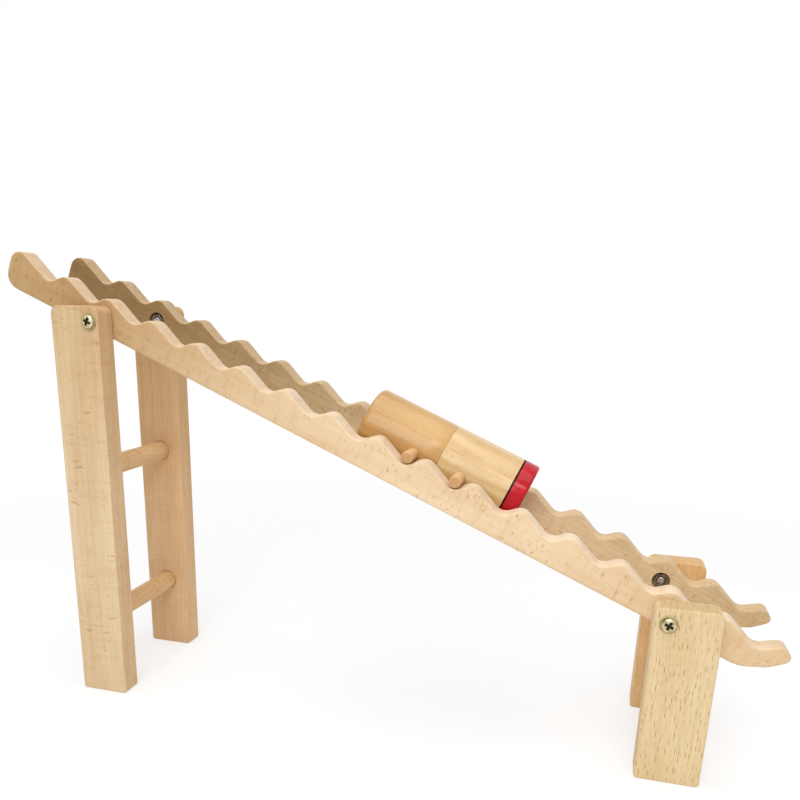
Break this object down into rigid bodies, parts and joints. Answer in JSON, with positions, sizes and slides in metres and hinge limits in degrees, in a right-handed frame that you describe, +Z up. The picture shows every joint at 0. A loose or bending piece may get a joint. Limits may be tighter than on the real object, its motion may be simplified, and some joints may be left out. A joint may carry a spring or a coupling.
{
  "type": "clown flip ladder toy",
  "caption": "Wooden flip ladder toy: scalloped sloping rails on folding legs, and a ball-weighted peg clown that tumbles down from notch to notch.",
  "frame": {"origin": "centre of the bounding box, on the floor under the feet", "axes": "+X downhill along the ladder, +Y to the far side, +Z up"},
  "size_m": [0.4284, 0.1008, 0.2553],
  "materials": {
    "rail_wood": "clear lacquered pale beech",
    "leg_wood": "clear lacquered flecked beech",
    "rung_wood": "plain beech dowel",
    "head_wood": "lacquered, with a painted red cap",
    "tail_wood": "glossy lacquer over honey-coloured wood",
    "peg_wood": "plain beech dowel",
    "bolt_zinc": "yellow zinc plate",
    "washer_zinc": "yellow zinc plate",
    "nut_zinc": "dull zinc plate",
    "ball_steel": "polished steel"
  },
  "bodies": {
    "rails": {"rail_near": "rail_wood", "rail_far": "rail_wood", "pivot_bolt_rear_near": "bolt_zinc", "pivot_bolt_rear_far": "bolt_zinc", "pivot_bolt_front_near": "bolt_zinc", "pivot_bolt_front_far": "bolt_zinc", "washer_rear_near": "washer_zinc", "washer_rear_far": "washer_zinc", "washer_front_near": "washer_zinc", "washer_front_far": "washer_zinc", "pivot_nut_rear_near": "nut_zinc", "pivot_nut_rear_far": "nut_zinc", "pivot_nut_front_near": "nut_zinc", "pivot_nut_front_far": "nut_zinc"},
    "rear_legs": {"rear_leg_near": "leg_wood", "rear_leg_far": "leg_wood", "rear_upper_rung": "rung_wood", "rear_lower_rung": "rung_wood"},
    "front_legs": {"front_leg_near": "leg_wood", "front_leg_far": "leg_wood", "front_upper_rung": "rung_wood", "front_lower_rung": "rung_wood"},
    "clown": {"clown_head_half": "head_wood", "clown_tail_half": "tail_wood", "head_peg_near": "peg_wood", "head_peg_far": "peg_wood", "tail_peg_near": "peg_wood", "tail_peg_far": "peg_wood"},
    "ball": {"weight_ball": "ball_steel"}
  },
  "joints": [
    {"name": "rear_leg_fold", "type": "hinge", "parent": "rails", "child": "rear_legs", "pos_m": [-0.15368, 0, 0.219], "axis": [0, -1, 0], "range_deg": [-30, 63]},
    {"name": "front_leg_fold", "type": "hinge", "parent": "rails", "child": "front_legs", "pos_m": [0.15536, 0, 0.0856], "axis": [0, 1, 0], "range_deg": [-31, 106]},
    {"name": "clown_flip", "type": "hinge", "parent": "rails", "child": "clown", "pos_m": [0.04537, 0, 0.144], "axis": [0, 1, 0], "range_deg": [0, 180]},
    {"name": "ball_roll", "type": "slide", "parent": "clown", "child": "ball", "axis": [-0.9181, 0, 0.3963], "range_m": [0, 0.0554]}
  ]
}
